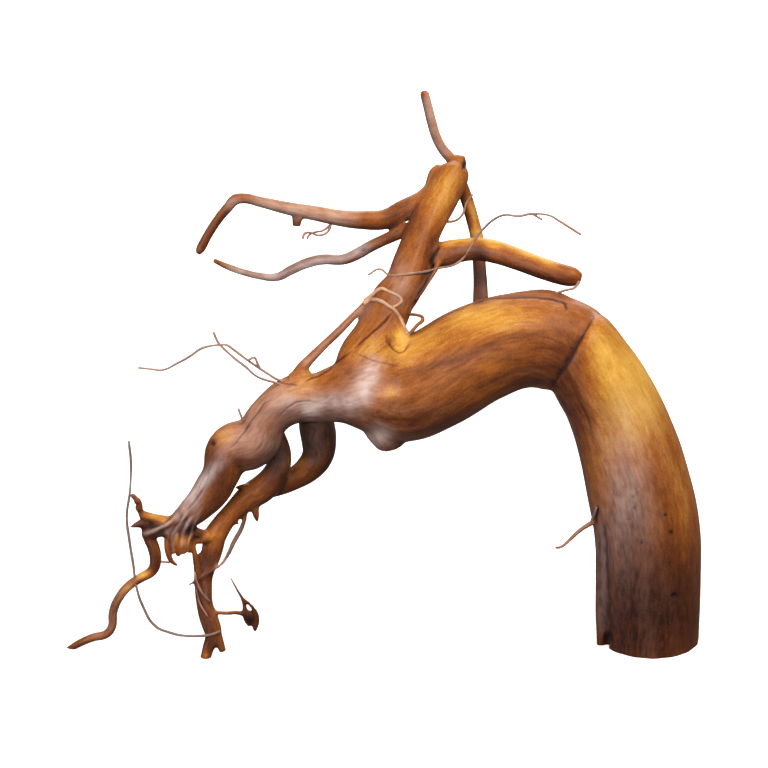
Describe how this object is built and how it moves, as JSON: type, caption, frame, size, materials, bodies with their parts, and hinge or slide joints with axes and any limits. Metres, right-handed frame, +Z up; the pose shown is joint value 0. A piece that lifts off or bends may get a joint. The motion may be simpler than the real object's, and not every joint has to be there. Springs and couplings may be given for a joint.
{
  "type": "aquarium root wood",
  "caption": "Bent piece of root wood: a thick trunk arches over onto forked, splintered roots, with thin branches and rootlets above.",
  "frame": {"origin": "the middle of the whole piece's box, on the surface it rests on", "axes": "+X from the forked root end to the thick trunk, along the longest extent; +Y back, away from the viewing side, the way the main branch leans; +Z up"},
  "size_m": [0.1915, 0.0925, 0.1525],
  "materials": {
    "root_wood": "bare red-brown root wood with golden patches, fine grain, cracks and a soft satin sheen"
  },
  "bodies": {
    "root": {"root_wood": "root_wood"}
  },
  "joints": []
}
